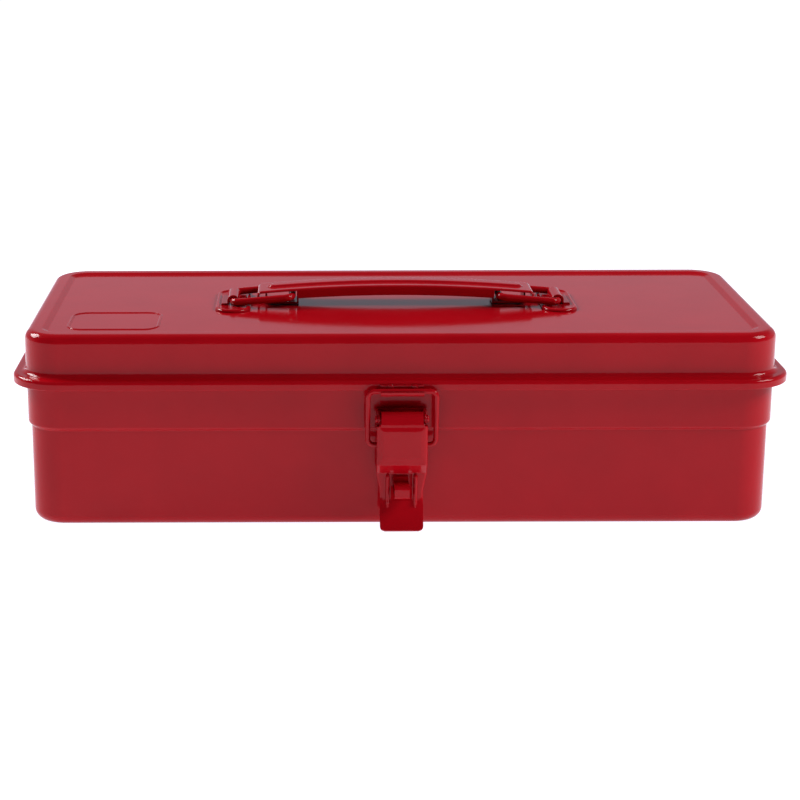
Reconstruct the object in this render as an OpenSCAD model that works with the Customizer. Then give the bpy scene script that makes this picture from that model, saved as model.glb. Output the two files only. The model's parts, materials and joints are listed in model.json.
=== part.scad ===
// Pressed-steel trunk toolbox with a lift-out tray, a flat-folding handle and a draw latch.
// Origin: middle of the tub's footprint. +X right, +Y to the hinges, +Z up. Millimetres.

/* [Tub] */
// Outer width of the tub below its ledge
tub_w = 320.8; // [240:0.2:400]
// Outer depth of the tub below its ledge
tub_d = 131.8; // [105:0.2:180]
// Height of the tub's rim above the table
rim_z = 66; // [60:0.5:90]
// Sheet thickness of the tub and the lid
sheet = 0.8; // [0.6:0.1:1.0]
// Plan radius of the tub's corners
corner_r = 14.5; // [12:0.5:24]
// Radius of the edge round the tub's base
base_r = 4.6; // [3:0.1:7]
// How far the wall steps out above the ledge
step_out = 1.4; // [1.2:0.1:2.2]
// Height at which the ledge starts
ledge_z = 42.8; // [38:0.1:50]
// Width of the flat between the wall's bend and the hem of the flange
flange_flat = 1; // [0:0.1:2.5]
// Width of the tub's folded hem
hem_w = 2.4; // [1.5:0.1:3]

/* [Lid] */
// Height of the lid above the rim
lid_h = 19.5; // [16:0.5:40]
// Gap between the lid's flange and the tub's flange
rim_gap = 0.1; // [0.05:0.05:0.3]
// Gap between the lid's skirt and the edge of the tub's flange
skirt_gap = 0.5; // [0.4:0.1:1]
// Depth of the lid's skirt below the rim
skirt_drop = 3.2; // [2.5:0.1:4]
// Radius of the lid's top edge
lid_edge_r = 4; // [2:0.5:6]
// Width of the raised border round the lid's panel
border_w = 7.5; // [6:0.5:13.5]
// Width of the slope between the border and the panel
slope_w = 2.5; // [1.5:0.5:4]
// Depth of the panel below the border
panel_drop = 1.1; // [0.6:0.1:2]
// Width of the plain raised frame for a label
label_w = 40; // [20:1:50]
// Depth of the plain raised frame for a label
label_d = 32; // [16:1:40]

/* [Hinges] */
// Length of each hinge
hinge_l = 36; // [27:1:60]
// Distance from the middle of the box to each hinge
hinge_x = 96; // [70:1:115]
// Radius of the hinge pins
hinge_pin_r = 1.2; // [1:0.1:1.5]
// Outer radius of the hinge knuckles
knuckle_r = 2.2; // [1.8:0.05:2.8]
// Gap between knuckles
knuckle_gap = 0.3; // [0.2:0.1:0.6]
// Thickness of the hinge leaves
leaf_t = 1; // [0.8:0.1:1.2]

/* [Handle] */
// Distance between the axes on which the two rings turn
ring_axes = 147; // [135:1:170]
// Length of each ring between its bars
ring_l = 26.8; // [22:0.1:33]
// Width of each ring between its bars
ring_w = 22.8; // [22:0.1:30]
// Radius of the ring wire
ring_wire_r = 1.6; // [1.4:0.1:1.8]
// Width of the grip
grip_w = 18.4; // [12:0.1:18.6]
// Sheet thickness of the grip
grip_t = 1; // [0.8:0.1:1.1]
// Depth of the grip's skirts
grip_skirt = 4.6; // [3.5:0.1:5]
// Radius of the grip's long arch
arch_r = 673; // [500:1:900]
// Width of the rib along the grip
rib_w = 6.4; // [4:0.1:9]
// Height of the rib along the grip
rib_h = 0.9; // [0.5:0.1:1.2]
// Width of the strip inside the grip
liner_w = 12; // [8:0.1:14]
// Width of each handle bracket
bracket_w = 16; // [15:0.1:20]
// Length of each handle bracket
bracket_l = 43; // [36:0.5:60]
// Width of the bridge over the ring's bar
bridge_w = 16.6; // [10:0.1:17.5]

/* [Latch] */
// Distance from the rim down to the lever's pin
pin_drop = 14.8; // [12:0.1:17]
// Distance from the lid's skirt out to the lever's pin
pin_out = 2.9; // [2.5:0.1:4]
// Radius of the lever's pin
pin_r = 1; // [0.8:0.1:1.2]
// Running clearance round each pin
pin_gap = 0.05; // [0.02:0.01:0.1]
// Width of the lever's face
lever_w = 21.6; // [20:0.1:26]
// Distance from the pin's axis to the lever's face
face_out = 4.1; // [3.8:0.1:5]
// Sheet thickness of the lever
lever_t = 1; // [0.8:0.1:1.2]
// Width of the link between its bars
link_w = 29; // [26:0.1:36]
// Radius of the link's wire
link_wire_r = 1.1; // [0.9:0.1:1.3]
// Width of the catch on the lid
hook_w = 18.4; // [12:0.1:22]
// Width of the padlock staple
staple_w = 6.4; // [4:0.1:8]
// Length of the padlock staple's eye
eye_l = 3.6; // [3:0.1:7]
// Height of the padlock staple's eye
eye_h = 3.6; // [3:0.1:4.4]

/* [Tray] */
// Height of the tray
tray_h = 20; // [14:0.5:21]
// Sheet thickness of the tray
tray_t = 0.7; // [0.5:0.1:0.9]
// Gap between the tray and the tub's wall
tray_gap = 0.5; // [0.4:0.1:0.8]
// Distance from the tray's middle to its divider
divider_x = 40; // [0:1:90]

/* [Hidden] */
$fn = 48;
enamel = [0.66, 0.03, 0.06];
arc_steps = 6;
far = 1000;

// Everything round the box is measured outward (u) from the tub's lower wall.
bend_r = 1;
wall_u = step_out;
flange_u = wall_u + bend_r + flange_flat + hem_w;
skirt_in_u = flange_u + skirt_gap;
skirt_u = skirt_in_u + sheet;
lid_u = wall_u + 0.2;
lid_z = rim_z + lid_h;
panel_z = lid_z - panel_drop;
panel_u = lid_u - border_w - slope_w;
flange_z = rim_z + rim_gap + sheet;
skirt_z = rim_z - skirt_drop;
flange_fillet = 2.2;
skirt_corner_r = 1.7;

// The ledge is an S-bend of two equal bends whose sum is the step.
bend_sum = 2 * bend_r + sheet;
bend_turn = acos(1 - step_out / bend_sum);
bend_rise = bend_sum * sin(bend_turn);

// Hinge axis, just behind the skirt and below the rim.
hinge_y = tub_d / 2 + skirt_u + knuckle_r + 0.4;
hinge_z = rim_z - 4;
knuckle_l = (hinge_l - 2 * knuckle_gap) / 3;
leaf_h = 11;

// Handle, in heights above the lid's panel.
axis_z = panel_z + 2.5;
crest_z = panel_z + 9.8;
bar_sink = 0.73;
curl_r = 2.2;
liner_t = 0.8;
track_z = panel_z + 1.5;
ring_bend_r = 3.6;
bracket_t = 0.8;
bridge_t = 1;
bridge_gap = 0.15;
bar_x = bar_rest_x(ring_axes / 2 - ring_l);
bar_z = bar_rest_z(bar_x);
ring_tilt = asin((bar_z - axis_z) / ring_l);
skirt_half = bar_x - ring_wire_r - 0.4;
track_in = bar_x - ring_wire_r - 0.5;
track_out = bar_x + 11.4;
grip_half = track_out + 4.5;
cover_half = grip_half - curl_r;
rib_half = cover_half - 2.5;

// Latch, in distances out from the pin's axis (x) and above it (y).
pin_y = -(tub_d / 2 + skirt_u + pin_out);
pin_z = rim_z - pin_drop;
wall_in = pin_y + tub_d / 2;
ear_r = 2.2;
ear_t = 1;
base_t = 1.2;
cheek_in = 7.9;
cheek_gap = 0.3;
hook_t = 0.9;
bar_up = pin_drop - 2.7;
bar_back = 2;
link_bend_r = 2.8;
// Rounded to 0.002 mm, so that the wire's straight and bent lengths meet exactly.
link_h = round(500 * sqrt(pow(2 * bar_up, 2) + pow(bar_back, 2))) / 500;
recess_out = 0.1;
face_top = -1.4;
step_top = -19;
step_bottom = -24.3;
slot_top = -24.6;
slot_bottom = -36.2;
slot_w = 9;
tab_top = -32;
tab_r = 23.5;
tab_turn = 42.6;
tab_w = 18.6;
rail_w = 1.9;
rail_out = 1.6;
staple_t = 0.9;
eye_top = -29.5;
staple_out = rail_out + 0.3 + eye_l + staple_t;

// Tray, seated on the rounded ledge.
tray_u = wall_u - sheet - tray_gap;
tray_r = 1;
seat_gap = 0.1;
seat_reach = bend_r + sheet + tray_r + seat_gap;
tray_z = ledge_z + sqrt(pow(seat_reach, 2) - pow(bend_r - tray_u + tray_r, 2)) - tray_r;
tray_hem = 2;

// Where the grip's arch lies over a given x, and where the ring's inner bar rests under it.
function arch_z(x) = crest_z - arch_r + sqrt(pow(arch_r, 2) - pow(x, 2));
function bar_rest_z(x) = arch_z(x) - grip_t - bar_sink - ring_wire_r;
function bar_rest_x(x) = ring_axes / 2 - sqrt(pow(ring_l, 2) - pow(bar_rest_z(x) - axis_z, 2));
function arc(cx, cy, r, from, to) = [
    for (i = [0:arc_steps])
        let (a = from + (to - from) * i / arc_steps) [cx + r * cos(a), cy + r * sin(a)]
];

// Sweeps a profile drawn in (u, height) round the tub's rounded rectangle.
module round_the_box() {
    for (turn = [0:3]) {
        out = (turn % 2 == 0 ? tub_w : tub_d) / 2;
        along = (turn % 2 == 0 ? tub_d : tub_w) / 2 - corner_r;
        rotate(90 * turn) {
            translate([out, along, 0]) rotate([90, 0, 0]) linear_extrude(2 * along) children();
            translate([out - corner_r, along, 0])
                rotate_extrude(angle = 90) translate([corner_r, 0]) children();
        }
    }
}

// Rounded rectangle of the box's plan at a distance u from the tub's lower wall.
module box_plan(u) {
    w = tub_w + 2 * u;
    d = tub_d + 2 * u;
    rounded_plan(w, d, corner_r + u);
}

module rounded_plan(w, d, r) {
    square([w - 2 * r, d], center = true);
    square([w, d - 2 * r], center = true);
    for (x = [-1, 1], y = [-1, 1]) translate([x * (w / 2 - r), y * (d / 2 - r)]) circle(r);
}

module stadium(l, w) {
    square([l - w, w], center = true);
    for (x = [-1, 1]) translate([x * (l - w) / 2, 0]) circle(w / 2);
}

// Turns a profile drawn in (out, height) into a piece of the latch that is w wide.
module across(w) {
    translate([0, pin_y, pin_z]) rotate([90, 0, -90]) linear_extrude(w, center = true) children();
}

// The same at both sides of the latch, from x = inner outward by t.
module both_sides(inner, t) {
    for (side = [-1, 1]) translate([side * (inner + t / 2), 0, 0]) across(t) children();
}

// Turns a drawing in (x, z) into a plate that spans from y = 0 towards the front by t.
module upright(t) {
    rotate([90, 0, 0]) linear_extrude(t) children();
}

// Closed rectangular ring of round wire in the XY plane, sized between its centrelines.
module wire_ring(l, w, wire_r, bend) {
    for (turn = [0:3]) {
        out = (turn % 2 == 0 ? l : w) / 2;
        along = (turn % 2 == 0 ? w : l) / 2 - bend;
        rotate(90 * turn) {
            translate([out, along, 0]) rotate([90, 0, 0]) cylinder(r = wire_r, h = 2 * along);
            translate([out - bend, along, 0])
                rotate_extrude(angle = 90) translate([bend, 0]) circle(wire_r);
        }
    }
}

module tub() {
    color(enamel) {
        round_the_box() tub_profile();
        linear_extrude(sheet) box_plan(-base_r);
    }
}

module tub_profile() {
    top_bend = bend_r + sheet;
    polygon(concat(
        arc(-base_r, base_r, base_r, -90, 0),
        arc(bend_r, ledge_z, bend_r, 180, 180 - bend_turn),
        arc(wall_u - top_bend, ledge_z + bend_rise, top_bend, -bend_turn, 0),
        arc(wall_u + bend_r, rim_z - top_bend, bend_r, 180, 90),
        [[flange_u - hem_w, rim_z - sheet], [flange_u - hem_w, rim_z - 2 * sheet]],
        arc(flange_u - sheet, rim_z - sheet, sheet, -90, 90),
        arc(wall_u + bend_r, rim_z - top_bend, top_bend, 90, 180),
        arc(wall_u - top_bend, ledge_z + bend_rise, bend_r, 0, -bend_turn),
        arc(bend_r, ledge_z, top_bend, 180 - bend_turn, 180),
        arc(-base_r, base_r, base_r - sheet, 0, -90)
    ));
}

module lid_shell() {
    color(enamel) {
        round_the_box() lid_profile();
        translate([0, 0, panel_z - sheet]) linear_extrude(sheet) box_plan(panel_u);
        label_frame();
    }
}

module lid_profile() {
    crest_u = lid_u - border_w;
    edge_u = lid_u - lid_edge_r;
    fillet_u = lid_u + flange_fillet;
    polygon(concat(
        [[panel_u, panel_z], [crest_u, lid_z]],
        arc(edge_u, lid_z - lid_edge_r, lid_edge_r, 90, 0),
        arc(fillet_u, flange_z + flange_fillet, flange_fillet, 180, 270),
        arc(skirt_u - skirt_corner_r, flange_z - skirt_corner_r, skirt_corner_r, 90, 0),
        [[skirt_u, skirt_z], [skirt_in_u, skirt_z]],
        arc(skirt_u - skirt_corner_r, flange_z - skirt_corner_r, skirt_corner_r - sheet, 0, 90),
        arc(fillet_u, flange_z + flange_fillet, flange_fillet + sheet, 270, 180),
        arc(edge_u, lid_z - lid_edge_r, lid_edge_r - sheet, 0, 90),
        [[crest_u, lid_z - sheet], [panel_u, panel_z - sheet]]
    ));
}

// Plain raised frame for an owner's label, near the lid's front left corner.
module label_frame() {
    frame_t = 0.9;
    frame_h = 0.4;
    frame_r = 7;
    translate([-tub_w / 2 + 16 + label_w / 2, -tub_d / 2 + 14 + label_d / 2, panel_z - sheet / 2])
        linear_extrude(frame_h + sheet / 2) difference() {
            rounded_plan(label_w, label_d, frame_r);
            rounded_plan(label_w - 2 * frame_t, label_d - 2 * frame_t, frame_r - frame_t);
        }
}

// One hinge: x is its middle. Knuckles are drawn along the axis, leaves as bent sheets.
module knuckle(x) {
    translate([x, hinge_y, hinge_z]) rotate([0, 90, 0]) difference() {
        cylinder(r = knuckle_r, h = knuckle_l, center = true);
        cylinder(r = hinge_pin_r + pin_gap, h = knuckle_l + 1, center = true);
    }
}

// Bent sheet of the hinge, from a profile drawn in (distance behind the hinge axis, height over it).
module leaf(x, l) {
    translate([x - l / 2, hinge_y, hinge_z]) rotate([90, 0, 90])
        linear_extrude(l) difference() {
            children();
            circle(knuckle_r - leaf_t / 2);
        }
}

module tub_hinge_leaf(x) {
    wall = tub_d / 2 + wall_u - hinge_y;
    foot = wall + leaf_t;
    arm_z = -knuckle_r + leaf_t;
    color(enamel) {
        for (side = [-1, 1]) {
            knuckle(x + side * (knuckle_l + knuckle_gap));
            leaf(x + side * (knuckle_l + knuckle_gap), knuckle_l)
                polygon([[0, -knuckle_r], [0, arm_z], [wall, arm_z], [wall, -knuckle_r - leaf_t],
                    [foot, -knuckle_r - leaf_t], [foot, -knuckle_r]]);
        }
        leaf(x, hinge_l)
            polygon([[wall, -knuckle_r - leaf_h], [foot, -knuckle_r - leaf_h],
                [foot, -knuckle_r - leaf_t], [wall, -knuckle_r - leaf_t]]);
    }
}

module lid_hinge_leaf(x) {
    wall = tub_d / 2 + lid_u - hinge_y;
    rise_z = flange_z + flange_fillet + 0.6 - hinge_z;
    riser = tub_d / 2 + skirt_u - hinge_y;
    riser_top = flange_z + 0.4 - hinge_z;
    color(enamel) {
        knuckle(x);
        leaf(x, knuckle_l)
            polygon([[riser, 0], [riser + leaf_t, 0], [riser + leaf_t, riser_top],
                [wall + leaf_t, rise_z], [wall, rise_z], [riser, riser_top - 0.3]]);
        leaf(x, hinge_l)
            polygon([[wall, rise_z], [wall + leaf_t, rise_z], [wall + leaf_t, rise_z + leaf_h],
                [wall, rise_z + leaf_h]]);
    }
}

module hinge_pin(x) {
    pin_l = hinge_l + 0.6;
    head_r = hinge_pin_r + 0.5;
    head_t = 0.6;
    color(enamel) translate([x, hinge_y, hinge_z]) rotate([0, 90, 0]) {
        cylinder(r = hinge_pin_r, h = pin_l, center = true);
        for (side = [-1, 1]) translate([0, 0, side * (pin_l + head_t) / 2])
            cylinder(r = head_r, h = head_t, center = true);
    }
}

// Stadium-shaped plate on the lid with a bridge pressed up over the ring's bar. side is -1 or 1.
module bracket(side) {
    bore_r = ring_wire_r + bridge_gap;
    bridge_r = bore_r + bridge_t;
    foot_half = bridge_r + 1.2;
    foot_t = 1.4;
    color(enamel) translate([side * ring_axes / 2, 0, 0]) difference() {
        union() {
            translate([0, 0, panel_z]) linear_extrude(bracket_t)
                rotate(90) stadium(bracket_l, bracket_w);
            translate([0, bridge_w / 2, 0]) upright(bridge_w) {
                intersection() {
                    translate([0, axis_z]) circle(bridge_r);
                    translate([-bridge_r, axis_z]) square(2 * bridge_r);
                }
                translate([-bridge_r, panel_z]) square([2 * bridge_r, axis_z - panel_z]);
                translate([-foot_half, panel_z]) square([2 * foot_half, foot_t]);
            }
        }
        translate([0, 0, axis_z]) rotate([90, 0, 0]) cylinder(r = bore_r, h = far, center = true);
    }
}

module handle_ring(side) {
    color(enamel) translate([side * ring_axes / 2, 0, axis_z]) rotate([0, side * ring_tilt, 0])
        translate([-side * ring_l / 2, 0, 0]) wire_ring(ring_l, ring_w, ring_wire_r, ring_bend_r);
}

// Band of the grip's arch, from top to bottom below the crest line, out to half its length.
module arch_band(top, bottom, half) {
    intersection() {
        translate([0, crest_z - arch_r]) difference() {
            circle(arch_r - top, $fn = 900);
            circle(arch_r - bottom, $fn = 900);
        }
        translate([-half, panel_z]) square([2 * half, 40]);
    }
}

module grip_cover() {
    color(enamel) {
        translate([0, grip_w / 2, 0]) upright(grip_w) {
            arch_band(0, grip_t, cover_half);
            for (side = [0, 1]) mirror([side, 0]) end_curl();
        }
        for (side = [-1, 1]) translate([0, side * (grip_w - grip_t) / 2 + grip_t / 2, 0])
            upright(grip_t) difference() {
                arch_band(grip_t / 2, grip_skirt, skirt_half);
                for (end = [-1, 1]) translate([end * bar_x, bar_z]) circle(ring_wire_r + 0.7);
            }
        intersection() {
            translate([0, rib_w / 2, 0]) upright(rib_w) arch_band(-rib_h, grip_t / 2, rib_half);
            linear_extrude(far) stadium(2 * rib_half, rib_w);
        }
    }
}

// The grip's end, turned down round a short bend.
module end_curl() {
    lip = 1.2;
    top = arch_z(cover_half);
    translate([cover_half, top - curl_r]) {
        difference() {
            intersection() {
                circle(curl_r);
                translate([-0.3, 0]) square(2 * curl_r);
            }
            circle(curl_r - grip_t);
        }
        translate([curl_r - grip_t, -lip]) square([grip_t, lip]);
    }
}

// Strip inside the grip. Its two dips hold the rings' inner bars in a track under the cover.
module grip_liner() {
    color(enamel) translate([0, liner_w / 2, 0]) upright(liner_w) {
        arch_band(grip_t, grip_t + liner_t, track_in);
        for (side = [0, 1]) mirror([side, 0]) {
            translate([track_in - liner_t, track_z - liner_t])
                square([liner_t, arch_z(track_in) - grip_t - track_z + liner_t]);
            translate([track_in - liner_t, track_z - liner_t])
                square([track_out - track_in + 2 * liner_t, liner_t]);
            translate([track_out, track_z - liner_t])
                square([liner_t, arch_z(track_out + liner_t) - grip_t - track_z + liner_t]);
        }
    }
}

// Bracket on the tub's wall with two ears that carry the lever's pin.
module latch_base() {
    wall = wall_in + step_out;
    plate_top = 5.8;
    plate_bottom = -5;
    plate_w = 26;
    color(enamel) {
        across(plate_w) translate([wall, plate_bottom]) square([base_t, plate_top - plate_bottom]);
        both_sides(cheek_in + lever_t + cheek_gap, ear_t) difference() {
            union() {
                circle(ear_r);
                translate([wall, -ear_r]) square([-wall, 2 * ear_r]);
            }
            circle(pin_r + pin_gap);
        }
    }
}

module latch_pin() {
    pin_l = 2 * (cheek_in + lever_t + cheek_gap + ear_t) + 0.3;
    head_t = 0.8;
    color(enamel) {
        across(pin_l) circle(pin_r);
        both_sides(pin_l / 2, head_t) circle(pin_r + 0.5);
    }
}

module latch_lever() {
    flange_in = lever_w / 2 - lever_t;
    flange_top = -ear_r - 0.4;
    color(enamel) {
        across(2 * (cheek_in + lever_t)) lever_roll();
        both_sides(cheek_in, lever_t) lever_cheek(flange_top);
        across(lever_w) {
            translate([face_out - lever_t, step_top]) square([lever_t, face_top - step_top]);
            lever_step();
        }
        both_sides(flange_in, lever_t) lever_flange(flange_top);
        difference() {
            union() {
                lever_lower();
                lever_tab();
            }
            across(slot_w) translate([-slot_w, slot_bottom]) square([2 * slot_w, slot_top - slot_bottom]);
        }
        both_sides(slot_w / 2 + 0.2, rail_w) lever_rail();
    }
}

// Curl over the pin, down to the top of the lever's face.
module lever_roll() {
    difference() {
        union() {
            circle(face_out);
            translate([0, face_top]) square([face_out, -face_top]);
        }
        circle(face_out - lever_t);
        translate([-far, -far]) square([far + face_out - lever_t, far]);
    }
}

module lever_cheek(flange_top) {
    foot = 8;
    difference() {
        union() {
            circle(face_out - lever_t / 2);
            translate([0, flange_top - foot]) square([face_out - lever_t / 2, foot - flange_top]);
        }
        circle(pin_r + pin_gap);
    }
}

module lever_step() {
    polygon([[face_out, step_top], [recess_out, step_bottom], [recess_out - lever_t, step_bottom],
        [recess_out - lever_t, step_bottom + 0.6], [face_out - lever_t, step_top]]);
}

// Side flange that holds the link's lower bar.
module lever_flange(flange_top) {
    depth = 5.6;
    lobe_r = 2.3;
    difference() {
        union() {
            translate([face_out - depth, step_top]) square([depth, flange_top - step_top]);
            translate([-bar_back, -bar_up]) circle(lobe_r);
            polygon([[face_out, step_top], [recess_out, step_bottom], [face_out - depth, step_bottom],
                [face_out - depth, step_top]]);
        }
        translate([-bar_back, -bar_up]) circle(link_wire_r + pin_gap);
    }
}

// Recessed plate with its turned-back edges, which narrow towards the tab.
module lever_lower() {
    edge_depth = 3.6;
    translate([0, pin_y - recess_out + lever_t, pin_z]) upright(lever_t) lever_outline(0);
    translate([0, pin_y - recess_out + edge_depth, pin_z]) upright(edge_depth) difference() {
        lever_outline(0);
        lever_outline(lever_t);
    }
}

module lever_outline(inset) {
    top = lever_w / 2 - inset;
    bottom = tab_w / 2 - inset;
    polygon([[-top, step_bottom], [-bottom, tab_top], [bottom, tab_top], [top, step_bottom]]);
}

module lever_rail() {
    foot = recess_out - lever_t / 2;
    polygon([[foot, step_bottom + 1.4], [rail_out, step_bottom + 0.6], [rail_out, slot_bottom + 1],
        [recess_out + 0.5, slot_bottom - 1.5], [foot, slot_bottom]]);
}

// Finger tab with round corners, curved away from the tub.
module lever_tab() {
    corner = 2;
    tip = tab_top - (tab_r + lever_t) * sin(tab_turn);
    length = tab_top - tip + 2 * corner;
    intersection() {
        across(tab_w) tab_band(recess_out + tab_r);
        translate([0, far / 2, pin_z + tip + length / 2]) upright(far) rounded_plan(tab_w, length, corner);
    }
}

module tab_band(centre) {
    difference() {
        translate([centre, tab_top]) circle(tab_r + lever_t, $fn = 240);
        translate([centre, tab_top]) circle(tab_r, $fn = 240);
        translate([-far / 2, tab_top]) square(far);
        translate([centre, tab_top]) rotate(180 + tab_turn) square(far);
        translate([centre, -far]) square(2 * far);
    }
}

// Wire link, tilted so that its lower bar lies behind the line from the catch to the pin.
module latch_link() {
    tilt = asin(bar_back / link_h);
    color(enamel) translate([0, pin_y, pin_z + bar_up]) rotate([tilt, 0, 0])
        translate([0, 0, -link_h / 2]) rotate([90, 0, 0])
            wire_ring(link_w, link_h, link_wire_r, link_bend_r);
}

// Catch on the lid's skirt: an upturned trough that holds the link's upper bar.
module lid_hook() {
    front_out = 3.4;
    trough = bar_up - link_wire_r - 0.6;
    low = trough - hook_t;
    top = flange_z - skirt_corner_r - pin_z;
    bend = 1.2;
    color(enamel) across(hook_w) difference() {
        union() {
            translate([-pin_out, low + bend]) square([hook_t, top - low - bend]);
            translate([-pin_out + bend, low]) square([pin_out + front_out + hook_t - 2 * bend, hook_t]);
            translate([front_out, low + bend]) square([hook_t, bar_up - low - bend]);
            for (x = [-pin_out + bend, front_out + hook_t - bend])
                translate([x, low + bend]) circle(bend);
        }
        translate([-pin_out + hook_t, trough]) square([pin_out - hook_t + front_out, far]);
    }
}

// Strap bent into an eye that stands out through the lever's slot for a padlock.
module padlock_staple() {
    eye_bottom = eye_top - eye_h;
    corner = staple_t + 0.4;
    plate_w = 15;
    plate_edge = 3.4;
    color(enamel) {
        across(staple_w) difference() {
            eye_outline(wall_in, staple_out, eye_bottom - staple_t, eye_top + staple_t, corner);
            eye_outline(wall_in, staple_out - staple_t, eye_bottom, eye_top, corner - staple_t);
        }
        across(plate_w) translate([wall_in, eye_bottom - plate_edge])
            square([staple_t, eye_h + 2 * plate_edge]);
    }
}

// Rectangle from x0 to x1 and y0 to y1 whose two outer corners are round.
module eye_outline(x0, x1, y0, y1, r) {
    translate([x0, y0]) square([x1 - x0 - r, y1 - y0]);
    translate([x0, y0 + r]) square([x1 - x0, y1 - y0 - 2 * r]);
    for (y = [y0 + r, y1 - r]) translate([x1 - r, y]) circle(r);
}

module tray_pan() {
    color(enamel) {
        round_the_box() tray_profile();
        translate([0, 0, tray_z]) linear_extrude(tray_t) box_plan(tray_u - tray_r);
    }
}

// Wall of the tray with its hem folded to the inside.
module tray_profile() {
    top = tray_z + tray_h;
    polygon(concat(
        arc(tray_u - tray_r, tray_z + tray_r, tray_r, -90, 0),
        arc(tray_u - tray_t, top - tray_t, tray_t, 0, 180),
        [[tray_u - 2 * tray_t, top - tray_t - tray_hem], [tray_u - tray_t, top - tray_t - tray_hem]],
        arc(tray_u - tray_r, tray_z + tray_r, tray_r - tray_t, 0, -90)
    ));
}

// Cross wall of the tray, with flanges that are spot-welded to the pan.
module tray_divider() {
    height = tray_h - 4;
    foot = 8;
    inner_d = tub_d + 2 * (tray_u - tray_t);
    end_gap = 0.2;
    foot_d = inner_d - 2 * end_gap - 4;
    color(enamel) translate([divider_x, 0, tray_z + tray_t]) {
        translate([-tray_t / 2, -foot_d / 2, 0]) cube([tray_t, foot_d, height]);
        translate([-tray_t / 2, -foot_d / 2, 0]) cube([foot, foot_d, tray_t]);
    }
}

tub();
tub_hinge_leaf(-hinge_x);  // tub_hinge_leaf_left
tub_hinge_leaf(hinge_x);  // tub_hinge_leaf_right
hinge_pin(-hinge_x);  // hinge_pin_left
hinge_pin(hinge_x);  // hinge_pin_right
latch_base();
latch_pin();
padlock_staple();
lid_shell();
lid_hinge_leaf(-hinge_x);  // lid_hinge_leaf_left
lid_hinge_leaf(hinge_x);  // lid_hinge_leaf_right
lid_hook();
bracket(-1);  // bracket_left
bracket(1);  // bracket_right
latch_lever();
latch_link();
grip_cover();
grip_liner();
handle_ring(-1);  // ring_left
handle_ring(1);  // ring_right
tray_pan();
tray_divider();
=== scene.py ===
"""Looks of the pressed-steel toolbox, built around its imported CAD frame."""
import json
import math

import bmesh
import bpy
from mathutils import Matrix, Vector


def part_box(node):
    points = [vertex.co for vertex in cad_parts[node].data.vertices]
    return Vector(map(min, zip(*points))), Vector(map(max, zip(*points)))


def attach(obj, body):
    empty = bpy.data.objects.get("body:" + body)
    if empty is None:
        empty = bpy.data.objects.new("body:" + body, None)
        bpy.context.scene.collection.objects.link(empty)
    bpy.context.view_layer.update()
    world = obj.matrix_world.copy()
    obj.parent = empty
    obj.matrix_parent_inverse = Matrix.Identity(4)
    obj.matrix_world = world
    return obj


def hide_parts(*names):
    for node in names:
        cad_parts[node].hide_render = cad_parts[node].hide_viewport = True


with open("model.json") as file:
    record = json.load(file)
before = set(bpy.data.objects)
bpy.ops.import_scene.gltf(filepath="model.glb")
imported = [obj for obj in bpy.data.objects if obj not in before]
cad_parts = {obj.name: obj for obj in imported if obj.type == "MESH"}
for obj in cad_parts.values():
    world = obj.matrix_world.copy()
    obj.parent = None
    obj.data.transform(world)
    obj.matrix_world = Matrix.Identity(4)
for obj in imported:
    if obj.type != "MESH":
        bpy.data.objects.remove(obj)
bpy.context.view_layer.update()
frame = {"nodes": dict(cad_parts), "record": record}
MM = 0.001

# ---------------------------------------------------------------- camera
CAMERA_AT = Vector((-41.48, -856.41, 283.40)) * MM
CAMERA_PITCH, CAMERA_YAW, CAMERA_ROLL = 14.88, -0.06, -0.13
camera_data = bpy.data.cameras.new("camera")
camera_data.sensor_width = 36
camera_data.lens = 86.47
camera_data.shift_x = 0.1174
camera_data.shift_y = -0.0469
camera_data.clip_end = 50
camera = bpy.data.objects.new("camera", camera_data)
bpy.context.scene.collection.objects.link(camera)
camera.matrix_world = (
    Matrix.Translation(CAMERA_AT)
    @ Matrix.Rotation(math.radians(CAMERA_YAW), 4, "Z")
    @ Matrix.Rotation(math.radians(90 - CAMERA_PITCH), 4, "X")
    @ Matrix.Rotation(math.radians(CAMERA_ROLL), 4, "Z")
)
bpy.context.scene.camera = camera
bpy.context.scene.view_settings.view_transform = "Standard"


# ---------------------------------------------------------------- sizes, in mm
def size_of(name):
    low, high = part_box(name)
    return (high - low) / MM


def joint_place(name):
    joint = next(j for j in frame["record"]["behaviour"]["joints"] if j["name"] == name)
    return Vector(joint["pos_m"]) / MM


# The box is measured outward (u) from the tub's lower wall, as in the CAD model.
TUB_W, TUB_D, RIM_Z = 320.8, 131.8, 66
CORNER_R, SHEET = 14.5, 0.8
CORNER_STEPS = 16
LEDGE_Z, STEP_OUT, BASE_R, HEM_W = 42.8, 1.4, 4.6, 2.4
FLANGE_U = (size_of("tub").x - TUB_W) / 2
LID_Z, PANEL_Z = 85.5, 84.4
SKIRT_U = (size_of("lid_shell").x - TUB_W) / 2
LID_U, SKIRT_Z = STEP_OUT + 0.2, 62.8
PIN_Y, PIN_Z = joint_place("lever_hinge").yz


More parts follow.
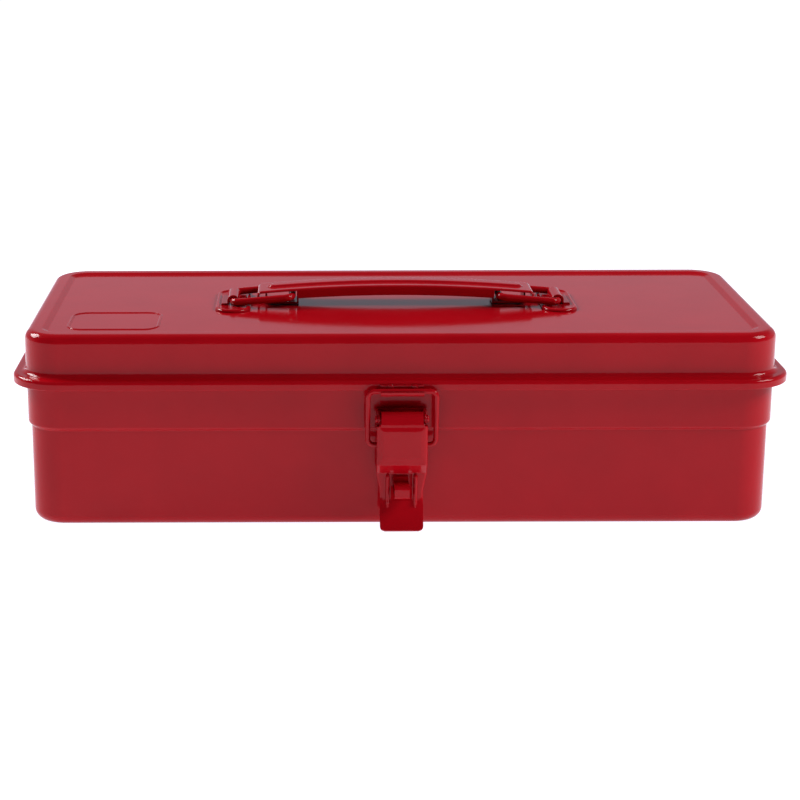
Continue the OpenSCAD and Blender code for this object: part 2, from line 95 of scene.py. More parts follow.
# ---------------------------------------------------------------- outlines
def rounded_path(corners, closed=False, step=11):
    """Points and directions along a chain of (x, y, radius) corners, each turned by an arc."""
    n = len(corners)
    points, ways = [], []

    def add(p, way):
        points.append(p)
        ways.append(way)

    for i, (x, y, r) in enumerate(corners):
        here = Vector((x, y))
        if not closed and i in (0, n - 1):
            other = Vector(corners[1 if i == 0 else n - 2][:2])
            way = (other - here).normalized() * (1 if i == 0 else -1)
            add(here, way)
            continue
        into = (here - Vector(corners[i - 1][:2])).normalized()
        out = (Vector(corners[(i + 1) % n][:2]) - here).normalized()
        turn = into.angle_signed(out) * -1
        if abs(turn) < 1e-4 or r < 1e-4:
            add(here, (into + out).normalized())
            continue
        reach = r * math.tan(abs(turn) / 2)
        side = math.copysign(1, turn)
        centre = here - into * reach + Vector((-into.y, into.x)) * r * side
        steps = max(3, math.ceil(math.degrees(abs(turn)) / step))
        for k in range(steps + 1):
            a = turn * k / steps
            way = Matrix.Rotation(a, 2) @ into
            add(centre - Vector((-way.y, way.x)) * r * side, way)
    return points, ways


def sheet_outline(corners, t, round_start=True):
    """Closed outline of a sheet of thickness t along a centreline, with a round edge at its end."""
    points, ways = rounded_path(corners)

    def cap(p, way):
        return [p + Matrix.Rotation(a, 2) @ Vector((-way.y, way.x)) * t / 2
                for a in [math.radians(-d) for d in (30, 60, 90, 120, 150)]]

    left = [p + Vector((-w.y, w.x)) * t / 2 for p, w in zip(points, ways)]
    right = [p - Vector((-w.y, w.x)) * t / 2 for p, w in zip(points, ways)]
    outline = left + cap(points[-1], ways[-1]) + right[::-1]
    if round_start:
        outline += cap(points[0], -ways[0])
    return outline


def drop_doubles(points, closed, least=0.004):
    """Leaves out points that lie closer than least to the one before."""
    kept = []
    for p in points:
        if not kept or (p - kept[-1]).length > least:
            kept.append(p)
    if closed and (kept[0] - kept[-1]).length <= least:
        kept.pop()
    return kept


# ---------------------------------------------------------------- meshes
def new_piece(name, bm, body, slot, replaces=(), sharp=35, weighted=True, bevel=0.0, bevel_angle=50):
    """Turns bm, in millimetres, into a smooth-shaded piece that rides on body."""
    bmesh.ops.recalc_face_normals(bm, faces=bm.faces)
    bmesh.ops.scale(bm, vec=(MM, MM, MM), verts=bm.verts)
    mesh = bpy.data.meshes.new(name)
    bm.to_mesh(mesh)
    bm.free()
    for polygon in mesh.polygons:
        polygon.use_smooth = True
    mesh.set_sharp_from_angle(angle=math.radians(sharp))
    piece = bpy.data.objects.new(name, mesh)
    bpy.context.scene.collection.objects.link(piece)
    if bevel:
        soften(piece, bevel, bevel_angle)
    elif weighted:
        weigh(piece)
    mesh.materials.append(SLOTS[slot])
    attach(piece, body)
    if replaces:
        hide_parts(*replaces)
    return piece


def soften(piece, width, angle, segments=3):
    """Rounds the edges that turn by more than angle, in degrees."""
    edge = piece.modifiers.new("round_edges", "BEVEL")
    edge.width = width * MM
    edge.segments = segments
    edge.limit_method = "ANGLE"
    edge.angle_limit = math.radians(angle)
    edge.miter_outer = "MITER_ARC"
    weigh(piece)


def weigh(piece):
    """Shades flat faces flat, next to rounded edges."""
    normals = piece.modifiers.new("flat_faces_stay_flat", "WEIGHTED_NORMAL")
    normals.keep_sharp = True
    normals.weight = 60


def sweep_round_box(bm, outline):
    """Sweeps an outline in (outward distance, height) round the box, and closes both its ends."""
    outline = drop_doubles(outline, False)
    rings = []
    for k, (sx, sy) in enumerate([(1, 1), (-1, 1), (-1, -1), (1, -1)]):
        cx, cy = sx * (TUB_W / 2 - CORNER_R), sy * (TUB_D / 2 - CORNER_R)
        for i in range(CORNER_STEPS + 1):
            a = math.radians(90 * (k + i / CORNER_STEPS))
            way = Vector((math.cos(a), math.sin(a)))
            rings.append([bm.verts.new((cx + way.x * (CORNER_R + p.x), cy + way.y * (CORNER_R + p.x), p.y))
                          for p in outline])
    for a, b in zip(rings, rings[1:] + rings[:1]):
        for i in range(len(outline) - 1):
            bm.faces.new((a[i], b[i], b[i + 1], a[i + 1]))
    bm.faces.new([ring[0] for ring in rings])
    bm.faces.new([ring[-1] for ring in reversed(rings)])
    bmesh.ops.remove_doubles(bm, verts=bm.verts, dist=1e-4)


def extrude_outline(bm, outline, low, high, place):
    """Prism of a closed outline; place(a, b, c) turns outline and height into a point."""
    bottom = [bm.verts.new(place(p.x, p.y, low)) for p in outline]
    top = [bm.verts.new(place(p.x, p.y, high)) for p in outline]
    n = len(outline)
    bm.faces.new(bottom)
    bm.faces.new(top[::-1])
    for i in range(n):
        j = (i + 1) % n
        bm.faces.new((bottom[i], top[i], top[j], bottom[j]))


def tube(bm, points, radius, around):
    """Closed ring of round wire along points, with its section carried along without twist."""
    n = len(points)
    ways = [(points[(i + 1) % n] - points[i - 1]).normalized() for i in range(n)]
    side = ways[0].orthogonal().normalized()
    rings = []
    for p, way in zip(points, ways):
        side = (side - way * side.dot(way)).normalized()
        other = way.cross(side)
        rings.append([bm.verts.new(p + (side * math.cos(t) + other * math.sin(t)) * radius)
                      for t in [2 * math.pi * k / around for k in range(around)]])
    for i, a in enumerate(rings):
        b = rings[(i + 1) % n]
        # Only the last section can have turned against the first, so only it is matched to it.
        shift = min(range(around), key=lambda s: (a[0].co - b[s].co).length) if b is rings[0] else 0
        for k in range(around):
            m = (k + 1) % around
            bm.faces.new((a[k], a[m], b[(m + shift) % around], b[(k + shift) % around]))


def ring_points(length, width, bend):
    """Centreline of a round-cornered wire ring, flat and round its own middle."""
    corners = [(length / 2, width / 2, bend), (-length / 2, width / 2, bend),
               (-length / 2, -width / 2, bend), (length / 2, -width / 2, bend)]
    points, _ = rounded_path(corners, closed=True, step=6)
    return drop_doubles(points, True)


def grid(bm, rows):
    """Faces between rows of points. Returns the rows of vertices."""
    made = [[bm.verts.new(p) for p in row] for row in rows]
    for a, b in zip(made, made[1:]):
        for i in range(len(a) - 1):
            bm.faces.new((a[i], a[i + 1], b[i + 1], b[i]))
    return made


def close_prism(bm, made):
    """Closes rows of vertices from grid() into a solid: its open side and both its ends."""
    for a, b in zip(made, made[1:]):
        bm.faces.new((a[-1], a[0], b[0], b[-1]))
    bm.faces.new(made[0])
    bm.faces.new(made[-1][::-1])


def sided(name, side):
    return name + ("_left" if side < 0 else "_right")


def low_side(side, near, thick):
    """Lower x of a plate whose inner face is near from the middle, on either side."""
    return near if side > 0 else -near - thick


def smoothstep(t):
    t = min(max(t, 0.0), 1.0)
    return t * t * (3 - 2 * t)


# ---------------------------------------------------------------- materials
def link(tree, a, b):
    tree.links.new(a, b)


def node(tree, kind, **inputs):
    made = tree.nodes.new(kind)
    for key, value in inputs.items():
        made.inputs[key.replace("_", " ")].default_value = value
    return made


def noise(tree, where, scale, detail=2.0, rough=0.5):
    made = node(tree, "ShaderNodeTexNoise", Scale=scale, Detail=detail, Roughness=rough)
    link(tree, where, made.inputs["Vector"])
    return made.outputs["Fac"]


def enamel(name, peel=1.0, wave=1.0):
    """Glossy baked enamel: deep red, with orange peel, a slow wave of the sheet, a faintly uneven film and
    painted shade darkening its creases.
    """
    material = bpy.data.materials.new(name)
    material.use_nodes = True
    tree = material.node_tree
    tree.nodes.clear()
    output = tree.nodes.new("ShaderNodeOutputMaterial")
    paint = tree.nodes.new("ShaderNodeBsdfPrincipled")
    link(tree, paint.outputs["BSDF"], output.inputs["Surface"])
    where = tree.nodes.new("ShaderNodeTexCoord").outputs["Object"]

    film = noise(tree, where, 38.0, 3.0, 0.6)
    tint = tree.nodes.new("ShaderNodeValToRGB")
    tint.color_ramp.elements[0].position = 0.3
    tint.color_ramp.elements[0].color = (0.385, 0.0018, 0.0062, 1)
    tint.color_ramp.elements[1].position = 0.7
    tint.color_ramp.elements[1].color = (0.425, 0.0024, 0.0074, 1)
    link(tree, film, tint.inputs["Fac"])
    # Painted shade: ambient occlusion within 4 mm darkens the base colour to as low as 72% in creases,
    # corners and between parts.
    crease_shade_ao = node(tree, "ShaderNodeAmbientOcclusion", Distance=0.004)
    crease_shade_ao.samples = 6
    painted_crease_shade = tree.nodes.new("ShaderNodeMix")
    painted_crease_shade.data_type = "RGBA"
    painted_crease_shade.blend_type = "MULTIPLY"
    painted_crease_shade.inputs["Factor"].default_value = 1.0
    shade = tree.nodes.new("ShaderNodeMapRange")
    shade.inputs["To Min"].default_value = 0.72
    link(tree, crease_shade_ao.outputs["AO"], shade.inputs["Value"])
    link(tree, tint.outputs["Color"], painted_crease_shade.inputs["A"])
    link(tree, shade.outputs["Result"], painted_crease_shade.inputs["B"])
    link(tree, painted_crease_shade.outputs["Result"], paint.inputs["Base Color"])

    gloss = tree.nodes.new("ShaderNodeMapRange")
    gloss.inputs["To Min"].default_value = 0.07
    gloss.inputs["To Max"].default_value = 0.14
    link(tree, noise(tree, where, 90.0, 2.0), gloss.inputs["Value"])
    link(tree, gloss.outputs["Result"], paint.inputs["Roughness"])
    paint.inputs["IOR"].default_value = 1.27

    normal = None
    # (scale, detail, height in metres) of the sheet's wave, the orange peel and the finest grain
    layers = ((11.0, 1.0, 0.00009 * wave), (330.0, 1.5, 0.000013 * peel), (900.0, 1.0, 0.0000012 * peel))
    for scale, detail, height in layers:
        bump = tree.nodes.new("ShaderNodeBump")
        bump.inputs["Strength"].default_value = 1.0
        bump.inputs["Distance"].default_value = height
        link(tree, noise(tree, where, scale, detail), bump.inputs["Height"])
        if normal is not None:
            link(tree, normal, bump.inputs["Normal"])
        normal = bump.outputs["Normal"]
    link(tree, normal, paint.inputs["Normal"])
    return material


BIG, SMALL = "red_enamel", "red_enamel_small_parts"
SLOTS = {BIG: enamel(BIG), SMALL: enamel(SMALL, peel=1.6, wave=0.0)}
for cad_node in frame["record"]["subparts"]:
    shown = frame["nodes"][cad_node["node"]]
    shown.data.materials.clear()
    shown.data.materials.append(SLOTS[cad_node["material_slot"]])


# ---------------------------------------------------------------- tub, lid and tray
def build_tub():
    half = SHEET / 2
    bend = 1 + half
    turn = math.acos(1 - STEP_OUT / (2 * bend))
    reach = bend * math.tan(turn / 2)
    first = LEDGE_Z + reach
    second = first + 2 * reach * math.cos(turn)
    centre = [(-CORNER_R, half, 0), (-half, half, BASE_R - half), (-half, first, bend),
              (STEP_OUT - half, second, bend), (STEP_OUT - half, RIM_Z - half, bend),
              (FLANGE_U - half, RIM_Z - half, half + 0.01), (FLANGE_U - half, RIM_Z - 3 * half, half + 0.01),
              (FLANGE_U - HEM_W, RIM_Z - 3 * half, 0)]
    bm = bmesh.new()
    sweep_round_box(bm, sheet_outline(centre, SHEET, round_start=False))
    new_piece("tub_shell", bm, "tub", BIG, ("tub",))


def build_lid():
    half = SHEET / 2
    top = LID_Z - half
    centre = [(-CORNER_R, PANEL_Z - half, 0), (LID_U - 10, PANEL_Z - half, 1.5), (LID_U - 7.5, top, 1.5),
              (LID_U - half, top, 3.6), (LID_U - half, 66.5, 2.6), (SKIRT_U - half, 66.5, 1.3),
              (SKIRT_U - half, SKIRT_Z + half, 0)]
    bm = bmesh.new()
    sweep_round_box(bm, sheet_outline(centre, SHEET, round_start=False))
    new_piece("lid_pressing", bm, "lid", BIG, ("lid_shell",))


def build_label_frame():
    """A plain raised bead, round-cornered, where an owner's label could go."""
    w, d, r = 39, 31, 6.5
    cx, cy = 36 - TUB_W / 2, 30 - TUB_D / 2
    half_w, height, sunk, steps = 0.95, 0.42, 0.02, 10
    corners = [(w / 2, d / 2, r), (-w / 2, d / 2, r), (-w / 2, -d / 2, r), (w / 2, -d / 2, r)]
    points, ways = rounded_path(corners, closed=True, step=6)
    section = []
    for k in range(steps + 1):
        across = -1 + 2 * k / steps
        section.append((half_w * across, height * (0.5 + 0.5 * math.cos(math.pi * across)) - sunk))
    bm = bmesh.new()
    rows = [[Vector((cx + p.x - way.y * a, cy + p.y + way.x * a, PANEL_Z + h)) for a, h in section]
            for p, way in zip(points, ways)]
    grid(bm, rows + rows[:1])
    bmesh.ops.remove_doubles(bm, verts=bm.verts, dist=0.002)
    new_piece("label_bead", bm, "lid", BIG, weighted=False, sharp=180)


def build_tray():
    low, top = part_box("tray_pan")
    z0, z1 = low.z / MM, top.z / MM
    u, t = STEP_OUT - SHEET - 0.5, 0.7
    half = t / 2
    centre = [(-CORNER_R, z0 + half, 0), (u - half, z0 + half, 0.66), (u - half, z1 - half, half + 0.01),
              (u - 3 * half, z1 - half, half + 0.01), (u - 3 * half, z1 - t - 2, 0)]
    bm = bmesh.new()
    sweep_round_box(bm, sheet_outline(centre, t, round_start=False))
    new_piece("tray_pressing", bm, "tray", BIG, ("tray_pan",))


# ---------------------------------------------------------------- handle
ARCH_R, CREST_Z = 673, 94.2
AXIS_Z, AXIS_X = 86.9, 73.5
RING_L, RING_W, RING_WIRE, RING_BEND, RING_TILT = 26.8, 22.8, 1.6, 3.6, 5.01
GRIP_HALF, GRIP_T, GRIP_END = 9.2, 1.0, 60.5
PAST_RIB = 99
RIM_HALF, RIM_H = 1.2, 1.45


def arch_z(x):
    return CREST_Z - ARCH_R + math.sqrt(ARCH_R ** 2 - x * x)


def build_ring(side):
    name = sided("ring", side)
    tilt = Matrix.Rotation(math.radians(RING_TILT) * side, 3, "Y")
    start = Vector((side * AXIS_X, 0, AXIS_Z))
    points = [start + tilt @ Vector((p.x - side * RING_L / 2, p.y, 0))
              for p in ring_points(RING_L, RING_W, RING_BEND)]
    bm = bmesh.new()
    tube(bm, points, RING_WIRE, around=28)
    new_piece(name + "_wire", bm, name, SMALL, (name,), weighted=False, sharp=180)


def rib(x, y):
    """Height of the raised rib over the grip's top at a point."""
    half_w, half_l, height = 3.2, 58.0, 0.95
    beyond = max(abs(x) - (half_l - half_w), 0)
    inside = half_w - math.hypot(beyond, y)
    return height * math.sqrt(max(0.0, 1 - (1 - smoothstep(inside / 1.7)) ** 2)) if inside > 0 else 0.0


def build_grip_plate():
    """Arched top plate with its rib and turned-down ends."""
    curl, lip, edge_r = 2.2, 1.3, 1.0
    xs = sorted({round(v, 3) for v in
                 [i * 2.0 for i in range(-26, 27)]
                 + [s * (52 + k * 0.42) for s in (-1, 1) for k in range(21)]})
    xs = [x for x in xs if abs(x) <= GRIP_END]
    stations = [(Vector((x, arch_z(x))), Vector((x / ARCH_R, 1)).normalized(), x) for x in xs]

    def curl_stations(side):
        z = arch_z(GRIP_END) - curl
        made = []
        for k in range(1, 10):
            a = math.radians(90 - 85 * k / 9 - 5)
            way = Vector((side * math.cos(a), math.sin(a)))
            made.append((Vector((side * GRIP_END, z)) + way * curl, way, side * PAST_RIB))
        made.append((Vector((side * (GRIP_END + curl), z - lip)), Vector((side, 0)), side * PAST_RIB))
        return made

    stations = curl_stations(-1)[::-1] + stations + curl_stations(1)
    flat = GRIP_HALF - edge_r
    ys = [-flat + k * 2 * flat / 44 for k in range(45)]
    edge = [(math.sin(math.radians(a)), math.cos(math.radians(a))) for a in range(90, -1, -15)]
    section = [(-flat - s, c - edge_r, False) for s, c in edge]
    section += [(y, 0.0, True) for y in ys[1:-1]]
    section += [(flat + s, c - edge_r, False) for s, c in reversed(edge)]
    bottom_end = GRIP_HALF - 0.15
    bottom = [(y, -GRIP_T, True) for y in [bottom_end] + ys[1:-1][::-1] + [-bottom_end]]
    rows = []
    for p, up, x in stations:
        row = []
        for y, h, ribbed in section + bottom:
            lift = rib(x, y) if ribbed else 0
            at = p + up * (h + lift)
            row.append(Vector((at.x, y, at.y)))
        rows.append(row)
    bm = bmesh.new()
    made = [[bm.verts.new(p) for p in row] for row in rows]
    n = len(section) + len(bottom)
    for a, b in zip(made, made[1:]):
        for i in range(n):
            j = (i + 1) % n
            bm.faces.new((a[i], a[j], b[j], b[i]))
    bm.faces.new(made[0])
    bm.faces.new(made[-1][::-1])
    new_piece("grip_plate", bm, "grip", SMALL, ("grip_cover",), sharp=50)


def build_grip_skirt(side):
    """Turned-down strip along one long side of the grip."""
    half_l, top, low, r = 44.8, 0.7, 4.6, 0.45
    outline = [(0, -top), (0, r - low)]
    for a in map(math.radians, (30, 60, 90)):
        outline.append((-r + r * math.cos(a), r - low - r * math.sin(a)))
    for a in map(math.radians, (0, 30, 60, 90)):
        outline.append((-GRIP_T + r - r * math.sin(a), r - low - r * math.cos(a)))
    outline.append((-GRIP_T, -top))
    rows = []
    for k in range(41):
        x = -half_l + 2 * half_l * k / 40
        up = Vector((x / ARCH_R, 1)).normalized()
        p = Vector((x, arch_z(x)))
        rows.append([Vector(((p + up * h).x, side * (GRIP_HALF + y), (p + up * h).y)) for y, h in outline])
    bm = bmesh.new()
    close_prism(bm, grid(bm, rows))
    new_piece("grip_skirt_front" if side < 0 else "grip_skirt_back", bm, "grip", SMALL,
              bevel=0.3, bevel_angle=60)


def stadium_points(half_length, radius):
    points = [Vector((radius * math.cos(a), half_length - radius + radius * math.sin(a)))
              for a in map(math.radians, range(0, 181, 6))]
    return points + [-p for p in points]


def build_bracket(side):
    """Pressed plate with a rounded rim, and the bridge that holds the ring's outer bar."""
    name = sided("bracket", side)
    cx = side * AXIS_X
    edge_h, floor_h, slope = 0.35, 0.75, 1.1
    # (inset from the outline, height over the lid's panel)
    section = [(0.0, -0.05), (0.0, edge_h)]
    for a in map(math.radians, range(15, 91, 15)):
        section.append((RIM_HALF - RIM_HALF * math.cos(a), edge_h + (RIM_H - edge_h) * math.sin(a)))
    section += [(RIM_HALF + slope * k / 5, RIM_H + (floor_h - RIM_H) * smoothstep(k / 5))
                for k in range(1, 6)]
    bm = bmesh.new()
    rows = [[Vector((cx + p.x, p.y, PANEL_Z + h)) for p in stadium_points(21.5 - inset, 8 - inset)]
            for inset, h in section]
    made = grid(bm, [row + row[:1] for row in rows])
    bm.faces.new(made[-1][:-1])
    bmesh.ops.remove_doubles(bm, verts=bm.verts, dist=0.002)
    new_piece(name + "_plate", bm, "lid", SMALL, (name,), weighted=False, sharp=50)

    axis = AXIS_Z - PANEL_Z
    r = 2.25
    centre = [(-5.0, 1.0, 0), (-r, 1.0, 0.9), (-r, axis + r, r - 0.02), (r, axis + r, r - 0.02),
              (r, 1.0, 0.9), (5.0, 1.0, 0)]
    outline = drop_doubles(sheet_outline(centre, 1.0), True)
    bm = bmesh.new()
    extrude_outline(bm, outline, -8.3, 8.3, lambda a, b, c: (cx + a, c, PANEL_Z + b))
    new_piece(name + "_bridge", bm, "lid", SMALL, bevel=0.22, bevel_angle=60)


# ---------------------------------------------------------------- latch
FACE_OUT, RECESS_OUT = 4.1, 0.1
ROLL_R, ROLL_HALF, CROWN, LOBE_R = 3.1, 8.9, 0.5, 2.3
FACE_HALF, EDGE_DEPTH = 10.8, 5.6
CHEEK_X, CHEEK_T, EAR_X, EAR_T = 7.95, 0.9, 9.2, 1.0
BAR_UP, BAR_BACK = 12.1, 2.0
SLOT_HALF, SLOT_TOP, SLOT_BOTTOM = 4.5, -24.6, -36.2
TAB_TOP, TAB_R, TAB_TURN, TAB_HALF, TAB_CORNER = -32, 23.5, 42.6, 9.3, 2.1
RAIL_X, RAIL_TOP, RAIL_BOTTOM = 5.9, -23.9, -39.6
LINK_WIRE, LINK_H, HOOK_T = 1.1, 24.282, 0.9


def out_point(x, out, up):
    """A point of the latch, from its distances to the side, out from the pin and up from it."""
    return Vector((x, PIN_Y - out, PIN_Z + up))


def lever_stations():
    """Front of the lever's sheet from roll to tab: (out, up, half width, depth of the turned-back edge)."""
    stations = [(ROLL_R * math.cos(math.radians(a)), ROLL_R * math.sin(math.radians(a)), ROLL_HALF, 0.0)
                for a in range(176, 9, -8)]
    stations += [(3.5, -0.3, ROLL_HALF, 0.0), (3.95, -1.0, ROLL_HALF, 0.0),
                 (FACE_OUT, -1.7, 9.3, 0.0), (FACE_OUT, -2.5, 10.6, 0.6)]
    for k in range(34):
        up = -2.9 - 0.48 * k
        lobe = LOBE_R ** 2 - (up + BAR_UP) ** 2
        depth = max(EDGE_DEPTH, FACE_OUT + BAR_BACK + math.sqrt(lobe)) if lobe > 0 else EDGE_DEPTH
        stations.append((FACE_OUT, up, FACE_HALF, depth))
    step, _ = rounded_path([(FACE_OUT, -18.8, 0), (FACE_OUT, -19.3, 1.3), (RECESS_OUT, -24.1, 1.3),
                            (RECESS_OUT, SLOT_TOP, 0)], step=9)
    stations += [(p.x, p.y, FACE_HALF, EDGE_DEPTH - 2 * (FACE_OUT - p.x) / 4) for p in step]
    taper = (FACE_HALF - TAB_HALF) / (SLOT_TOP - TAB_TOP)
    for k in range(1, 13):
        up = SLOT_TOP + (TAB_TOP - SLOT_TOP) * k / 12
        stations.append((RECESS_OUT, up, FACE_HALF + taper * (up - SLOT_TOP), 3.6 - 0.6 * k / 12))
    slot_end = math.degrees(math.asin((TAB_TOP - SLOT_BOTTOM) / TAB_R))
    angles = [slot_end * k / 5 for k in range(1, 6)]
    angles += [slot_end + (TAB_TURN - slot_end) * k / 26 for k in range(1, 27)]
    for a in angles:
        left = math.radians(TAB_TURN - a) * TAB_R
        cut = TAB_CORNER - math.sqrt(TAB_CORNER ** 2 - (TAB_CORNER - left) ** 2) if left < TAB_CORNER else 0.0
        turned = 3.0 * (1 - smoothstep(a / 14))
        t = math.radians(180 + a)
        stations.append((RECESS_OUT + TAB_R + TAB_R * math.cos(t), TAB_TOP + TAB_R * math.sin(t),
                         TAB_HALF - cut, turned))
    return stations


def lever_row(out, up, half, depth):
    """Points across one station: flat between the bends, then round the bends and back along the edges."""
    bend = min(1.1, depth)
    flat = half - bend
    side = [(SLOT_HALF + (flat - SLOT_HALF) * k / 9, 0.0) for k in range(1, 10)]
    side += [(flat + bend * math.sin(math.radians(18 * k)), bend - bend * math.cos(math.radians(18 * k)))
             for k in range(1, 6)]
    side += [(half, bend + (depth - bend) * k / 3) for k in range(1, 4)]
    middle = [(-SLOT_HALF + 2 * SLOT_HALF * k / 12, 0.0) for k in range(13)]
    row = []
    for x, back in [(-x, back) for x, back in reversed(side)] + middle + side:
        inside = min(half - abs(x), up + 19.0, -1.9 - up)
        lift = CROWN * smoothstep(inside / 3.2) if FACE_OUT - out < 0.01 and back == 0 else 0.0
        row.append(out_point(x, out + lift - back, up))
    return row


def build_lever():
    """Bent sheet of the lever: roll, crowned face, long step, slotted recess and curved tab."""
    bm = bmesh.new()
    grid(bm, [lever_row(*station) for station in lever_stations()])
    slot = []
    for face in bm.faces:
        middle = face.calc_center_median()
        if abs(middle.x) < SLOT_HALF and SLOT_BOTTOM < middle.z - PIN_Z < SLOT_TOP:
            slot.append(face)
    bmesh.ops.delete(bm, geom=slot, context="FACES")
    bmesh.ops.remove_doubles(bm, verts=bm.verts, dist=0.003)
    sheet = new_piece("lever_sheet", bm, "lever", SMALL, ("latch_lever",), weighted=False, sharp=55)
    sheet_up = sheet.data.polygons[len(sheet.data.polygons) // 2].normal.y
    thick = sheet.modifiers.new("sheet", "SOLIDIFY")
    thick.thickness = 0.95 * MM
    thick.offset = -1 if sheet_up < 0 else 1
    soften(sheet, 0.28, 50, 3)


def build_lever_rail(side):
    """Rounded ridge beside the slot, with a sunken lower end."""
    rows = []
    for k in range(31):
        up = RAIL_TOP + (RAIL_BOTTOM - RAIL_TOP) * k / 30
        end = min(smoothstep(k / 3), smoothstep((30 - k) / 5))
        rise = 0.25 + 1.25 * end
        half = 0.45 + 0.5 * end
        bulge = TAB_R - math.sqrt(TAB_R ** 2 - min(up - TAB_TOP, 0) ** 2)
        row = []
        for a in range(0, 181, 15):
            row.append(out_point(side * RAIL_X + half * math.cos(math.radians(a)),
                                 RECESS_OUT + bulge - 0.3 + rise * math.sin(math.radians(a)), up))
        rows.append(row)
    bm = bmesh.new()
    close_prism(bm, grid(bm, rows))
    new_piece(sided("lever_rail", side), bm, "lever", SMALL, weighted=False, sharp=60)


def build_lever_cheek(side):
    """End plate of the roll, which turns on the pin."""
    top_r = 2.6
    outline = [Vector((top_r * math.cos(math.radians(a)), top_r * math.sin(math.radians(a))))
               for a in range(0, 181, 10)]
    outline += [Vector((-2.6, -2.2)), Vector((-1.2, -6.5)), Vector((3.2, -6.5)), Vector((3.2, -1.0))]
    bm = bmesh.new()
    low = low_side(side, CHEEK_X, CHEEK_T)
    extrude_outline(bm, outline, low, low + CHEEK_T, lambda a, b, c: out_point(c, a, b))
    new_piece(sided("lever_cheek", side), bm, "lever", SMALL, bevel=0.2)


def build_hook():
    """Catch: a strap bent up in a J that the link's upper bar lies in."""
    curl = LINK_WIRE + 0.12 + HOOK_T / 2
    back = -2.9 + HOOK_T / 2
    centre = [(back, 13.9, 0), (back, BAR_UP - curl, 1.3), (curl, BAR_UP - curl, curl - 0.05),
              (curl, BAR_UP - 0.45, 0)]
    outline = drop_doubles(sheet_outline(centre, HOOK_T), True)
    bm = bmesh.new()
    extrude_outline(bm, outline, -9.2, 9.2, lambda a, b, c: out_point(c, a, b))
    new_piece("hook_strap", bm, "lid", SMALL, ("lid_hook",), bevel=0.25, bevel_angle=60)


def build_latch_base():
    """Low plate on the tub's wall with the two ears that carry the pin."""
    wall = -TUB_D / 2 - STEP_OUT
    bm = bmesh.new()
    w, low, high, ear_r = 11.2, -4.6, 2.6, 2.2
    corners = [(w, high, 1.2), (-w, high, 1.2), (-w, low, 1.2), (w, low, 1.2)]
    outline, _ = rounded_path(corners, closed=True, step=15)
    extrude_outline(bm, drop_doubles(outline, True), -0.05, 1.0, lambda a, b, c: (a, wall - c, PIN_Z + b))
    new_piece("latch_plate", bm, "tub", SMALL, ("latch_base",), bevel=0.3)
    back = PIN_Y - wall
    for side in (-1, 1):
        ear = [Vector((ear_r * math.sin(math.radians(a)), ear_r * math.cos(math.radians(a))))
               for a in range(0, 181, 10)]
        ear += [Vector((back, -ear_r)), Vector((back, ear_r))]
        bm = bmesh.new()
        low_x = low_side(side, EAR_X, EAR_T)
        extrude_outline(bm, ear, low_x, low_x + EAR_T, lambda a, b, c: out_point(c, a, b))
        new_piece(sided("latch_ear", side), bm, "tub", SMALL, bevel=0.2)


def build_latch_pin():
    """Riveted pin with domed heads."""
    profile = [(-11.55 + 0.9 * (1 - math.cos(math.radians(a))), 1.65 * math.sin(math.radians(a)))
               for a in range(0, 91, 15)]
    profile += [(-10.35, 1.6), (-10.3, 1.0)]
    profile += [(-x, r) for x, r in reversed(profile)]
    bm = bmesh.new()
    grid(bm, [[out_point(x, r * math.cos(math.radians(a)), r * math.sin(math.radians(a)))
               for a in range(0, 361, 15)] for x, r in profile])
    bmesh.ops.remove_doubles(bm, verts=bm.verts, dist=0.002)
    new_piece("latch_rivet", bm, "tub", SMALL, ("latch_pin",), weighted=False, sharp=50)


def build_hook_weld(side):
    """Low round bump where the catch is spot-welded to the lid's skirt."""
    rows = []
    for k in range(9):
        r = 1.5 * math.sin(math.radians(90 * k / 8))
        rise = 0.32 * math.cos(math.radians(90 * k / 8)) - 0.04
        rows.append([out_point(side * 5.1 + r * math.cos(math.radians(a)), rise - 2.0,
                               13.1 + r * math.sin(math.radians(a))) for a in range(0, 361, 15)])
    bm = bmesh.new()
    grid(bm, rows)
    bmesh.ops.remove_doubles(bm, verts=bm.verts, dist=0.003)
    new_piece(sided("hook_weld", side), bm, "lid", SMALL, weighted=False, sharp=180)


def build_link():
    """Wire ring between the lever and the catch, leaning back from its lower bar."""
    tilt = Matrix.Rotation(math.asin(BAR_BACK / LINK_H), 3, "X")
    points = []
    for p in ring_points(29, LINK_H, 2.8):
        local = tilt @ Vector((p.x, 0, p.y - LINK_H / 2))
        points.append(Vector((local.x, PIN_Y + local.y, PIN_Z + BAR_UP + local.z)))
    bm = bmesh.new()
    tube(bm, points, LINK_WIRE, around=24)
    new_piece("link_wire", bm, "link", SMALL, ("latch_link",), weighted=False, sharp=180)


build_tub()
build_lid()
build_label_frame()
build_tray()
for side in (-1, 1):
    build_ring(side)
    build_bracket(side)
    build_lever_rail(side)
    build_lever_cheek(side)
    build_hook_weld(side)
build_grip_plate()
for side in (-1, 1):
    build_grip_skirt(side)
build_link()
build_lever()
build_hook()
build_latch_base()
build_latch_pin()

for name in ("tub_hinge_leaf_left", "tub_hinge_leaf_right", "lid_hinge_leaf_left", "lid_hinge_leaf_right",
             "padlock_staple", "tray_divider", "grip_liner"):
    soften(frame["nodes"][name], 0.25, 50, 2)


# ---------------------------------------------------------------- floor and light
def stage_material():
    material = bpy.data.materials.new("pale_floor")
    material.use_nodes = True
    paint = material.node_tree.nodes["Principled BSDF"]
    paint.inputs["Base Color"].default_value = (0.35, 0.35, 0.35, 1)
    paint.inputs["Roughness"].default_value = 0.9
    paint.inputs["Specular IOR Level"].default_value = 0.0
    paint.inputs["Emission Color"].default_value = (0.86, 0.88, 1, 1)
    paint.inputs["Emission Strength"].default_value = 1.14
    return material


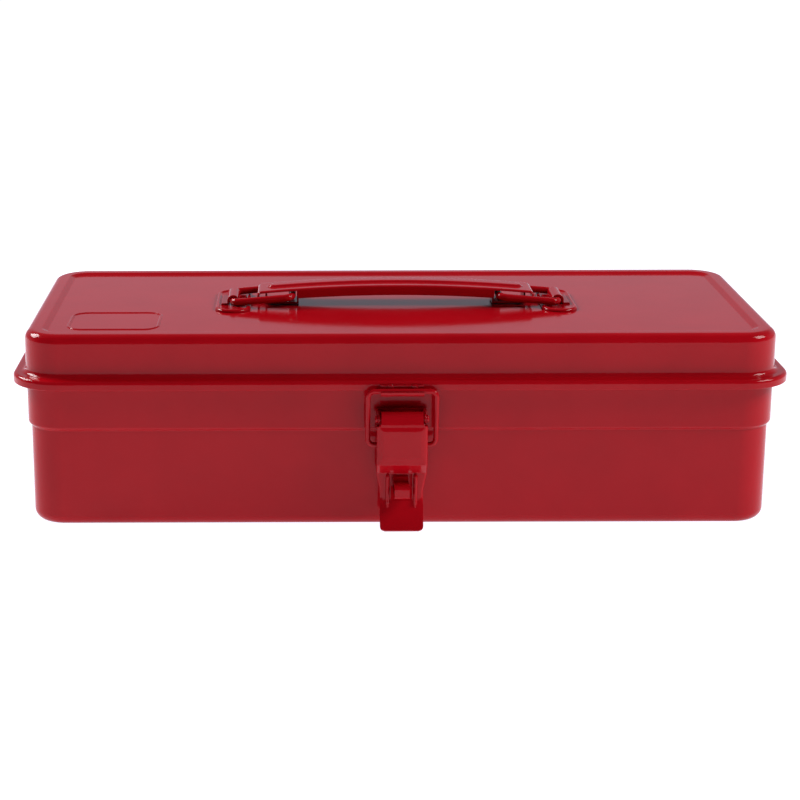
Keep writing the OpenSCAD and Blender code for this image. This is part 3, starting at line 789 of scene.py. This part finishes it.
bm = bmesh.new()
bmesh.ops.create_grid(bm, x_segments=1, y_segments=1, size=12)
floor_mesh = bpy.data.meshes.new("floor")
bm.to_mesh(floor_mesh)
bm.free()
floor = bpy.data.objects.new("floor", floor_mesh)
bpy.context.scene.collection.objects.link(floor)
floor.location.z = -0.0002
floor_mesh.materials.append(stage_material())


def softbox(name, at, size, power, colour):
    """Area light that faces the box and isn't seen itself."""
    data = bpy.data.lights.new(name, "AREA")
    data.shape = "RECTANGLE"
    data.size, data.size_y = size
    data.energy = power
    data.color = colour
    lamp = bpy.data.objects.new(name, data)
    bpy.context.scene.collection.objects.link(lamp)
    lamp.location = at
    lamp.rotation_euler = (Vector((0, 0, 0.05)) - Vector(at)).to_track_quat("-Z", "Y").to_euler()
    lamp.visible_camera = False


softbox("left_softbox", (-1.10, 0.55, 0.93), (0.75, 0.55), 22, (0.97, 0.985, 1.0))
softbox("right_softbox", (1.12, -0.30, 0.95), (0.65, 0.55), 15, (1.0, 0.99, 0.98))

world = bpy.data.worlds.new("studio")
bpy.context.scene.world = world
world.use_nodes = True
tree = world.node_tree
tree.nodes.clear()
out = tree.nodes.new("ShaderNodeOutputWorld")
background = tree.nodes.new("ShaderNodeBackground")
link(tree, background.outputs["Background"], out.inputs["Surface"])
direction = tree.nodes.new("ShaderNodeTexCoord").outputs["Generated"]
parts = tree.nodes.new("ShaderNodeSeparateXYZ")
link(tree, direction, parts.inputs["Vector"])


def ramp(value, stops):
    """Grey level that follows value through (position, level) stops."""
    made = tree.nodes.new("ShaderNodeValToRGB")
    made.color_ramp.interpolation = "EASE"
    elements = made.color_ramp.elements
    while len(elements) < len(stops):
        elements.new(0.5)
    for element, (position, level) in zip(elements, stops):
        element.position = position
        element.color = (level, level, level, 1)
    link(tree, value, made.inputs["Fac"])
    return made.outputs["Color"]


def math_node(operation, a, b):
    made = tree.nodes.new("ShaderNodeMath")
    made.operation = operation
    for socket, value in zip(made.inputs, (a, b)):
        if isinstance(value, (int, float)):
            socket.default_value = value
        else:
            link(tree, value, socket)
    return made.outputs["Value"]


half_up = math_node("ADD", math_node("MULTIPLY", parts.outputs["Y"], 0.5), 0.5)
back = ramp(half_up, [(0.40, 0.0), (0.62, 1.0)])
height = ramp(parts.outputs["Z"], [(0.0, 1.0), (0.30, 0.9), (0.55, 0.25), (1.0, 0.2)])
glow = math_node("MULTIPLY", back, height)
level = math_node("ADD", math_node("MULTIPLY", glow, 0.44), 0.05)
colour = tree.nodes.new("ShaderNodeCombineColor")
link(tree, math_node("MULTIPLY", level, 0.93), colour.inputs["Red"])
link(tree, math_node("MULTIPLY", level, 0.95), colour.inputs["Green"])
link(tree, math_node("MULTIPLY", level, 1.12), colour.inputs["Blue"])
link(tree, colour.outputs["Color"], background.inputs["Color"])
